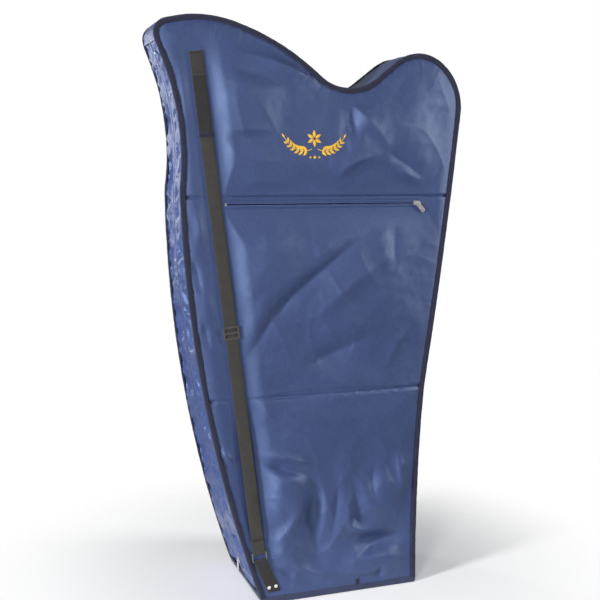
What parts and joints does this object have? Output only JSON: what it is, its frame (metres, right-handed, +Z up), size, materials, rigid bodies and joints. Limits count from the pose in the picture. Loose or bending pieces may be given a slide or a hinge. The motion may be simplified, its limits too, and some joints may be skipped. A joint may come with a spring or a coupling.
{
  "type": "padded harp carrying bag",
  "caption": "Padded nylon carrying bag in the outline of a lever harp, with a zipped pillar side, a zipped front pocket and carrying straps on both faces.",
  "frame": {"origin": "under the middle of the whole bag, on the flat underside of the base", "axes": "+Z up; X along the harp profile with the zipped pillar side at -X; the pocket face looks to -Y"},
  "size_m": [0.8101, 0.306, 1.455],
  "materials": {
    "shell_nylon": "padded woven nylon, slight sheen",
    "gusset_nylon": "crumpled woven nylon, shinier than the panels",
    "base_nylon": "coated woven nylon",
    "binding_tape": "woven binding tape",
    "lining_cloth": "plain woven lining",
    "padding_foam": "soft closed foam under cloth",
    "stiff_board": "fluted plastic board",
    "webbing": "ribbed webbing",
    "zip_tape": "woven zip tape",
    "zip_chain": "moulded coil",
    "nickel": "nickel plate, softly polished"
  },
  "bodies": {
    "bag": {"front_upper_panel": "shell_nylon", "front_pocket_panel": "shell_nylon", "front_lower_panel": "shell_nylon", "back_panel": "shell_nylon", "front_pocket_backing": "lining_cloth", "front_padding": "padding_foam", "back_padding": "padding_foam", "front_lining": "lining_cloth", "back_lining": "lining_cloth", "top_gusset": "gusset_nylon", "top_gusset_padding": "padding_foam", "spine_gusset": "gusset_nylon", "spine_gusset_padding": "padding_foam", "zip_flap_front": "gusset_nylon", "zip_flap_back": "gusset_nylon", "base_panel": "base_nylon", "base_board": "stiff_board", "base_foam": "padding_foam", "base_lining": "lining_cloth", "front_binding": "binding_tape", "back_binding": "binding_tape", "hem_band": "binding_tape", "main_zip_tape_front": "zip_tape", "main_zip_tape_back": "zip_tape", "main_zip_chain_front": "zip_chain", "main_zip_chain_back": "zip_chain", "main_zip_stops": "nickel", "pocket_zip_tape_upper": "zip_tape", "pocket_zip_tape_lower": "zip_tape", "pocket_zip_chain_upper": "zip_chain", "pocket_zip_chain_lower": "zip_chain", "pocket_zip_stops": "nickel", "hem_tab": "webbing", "front_strap_patch": "webbing", "front_strap_top_anchor": "webbing", "front_strap_webbing": "webbing", "front_strap_keeper": "webbing", "front_strap_hem_anchor": "webbing", "front_strap_rivets": "nickel", "back_strap_patch": "webbing", "back_strap_top_anchor": "webbing", "back_strap_webbing": "webbing", "back_strap_keeper": "webbing", "back_strap_hem_anchor": "webbing", "back_strap_rivets": "nickel"},
    "pocket_slider": {"pocket_zip_slider": "nickel"},
    "pocket_pull": {"pocket_zip_pull": "nickel"},
    "main_slider": {"main_zip_slider": "nickel"},
    "main_pull": {"main_zip_pull": "nickel"},
    "front_adjuster": {"front_strap_adjuster": "nickel"},
    "back_adjuster": {"back_strap_adjuster": "nickel"},
    "front_ring": {"front_strap_ring": "nickel"},
    "back_ring": {"back_strap_ring": "nickel"}
  },
  "joints": [
    {"name": "pocket_slider_travel", "type": "slide", "parent": "bag", "child": "pocket_slider", "axis": [-1, 0, 0], "range_m": [0, 0.498]},
    {"name": "pocket_pull_swing", "type": "hinge", "parent": "pocket_slider", "child": "pocket_pull", "pos_m": [0.273, -0.09851, 1.00369], "axis": [-0.7431, -0.0368, -0.6681], "range_deg": [0, 175]},
    {"name": "main_slider_travel", "type": "hinge", "parent": "bag", "child": "main_slider", "pos_m": [2.93355, 0, 1.08115], "axis": [0, 1, 0], "range_deg": [0, 17.03]},
    {"name": "main_pull_swing", "type": "hinge", "parent": "main_slider", "child": "main_pull", "pos_m": [-0.18856, 0, 0.06082], "axis": [0, 1, 0], "range_deg": [-17.5, 157]},
    {"name": "front_adjuster_travel", "type": "slide", "parent": "bag", "child": "front_adjuster", "axis": [-0.1037, 0.0547, 0.9931], "range_m": [-0.45, 0.42]},
    {"name": "back_adjuster_travel", "type": "slide", "parent": "bag", "child": "back_adjuster", "axis": [-0.1037, -0.0547, 0.9931], "range_m": [-0.45, 0.42]},
    {"name": "front_ring_swing", "type": "hinge", "parent": "bag", "child": "front_ring", "pos_m": [-0.17408, -0.14603, 0.13388], "axis": [-0.9946, -0.0057, -0.1036], "range_deg": [0, 5]},
    {"name": "back_ring_swing", "type": "hinge", "parent": "bag", "child": "back_ring", "pos_m": [-0.17408, 0.14603, 0.13388], "axis": [0.9946, -0.0057, 0.1036], "range_deg": [0, 5]}
  ]
}
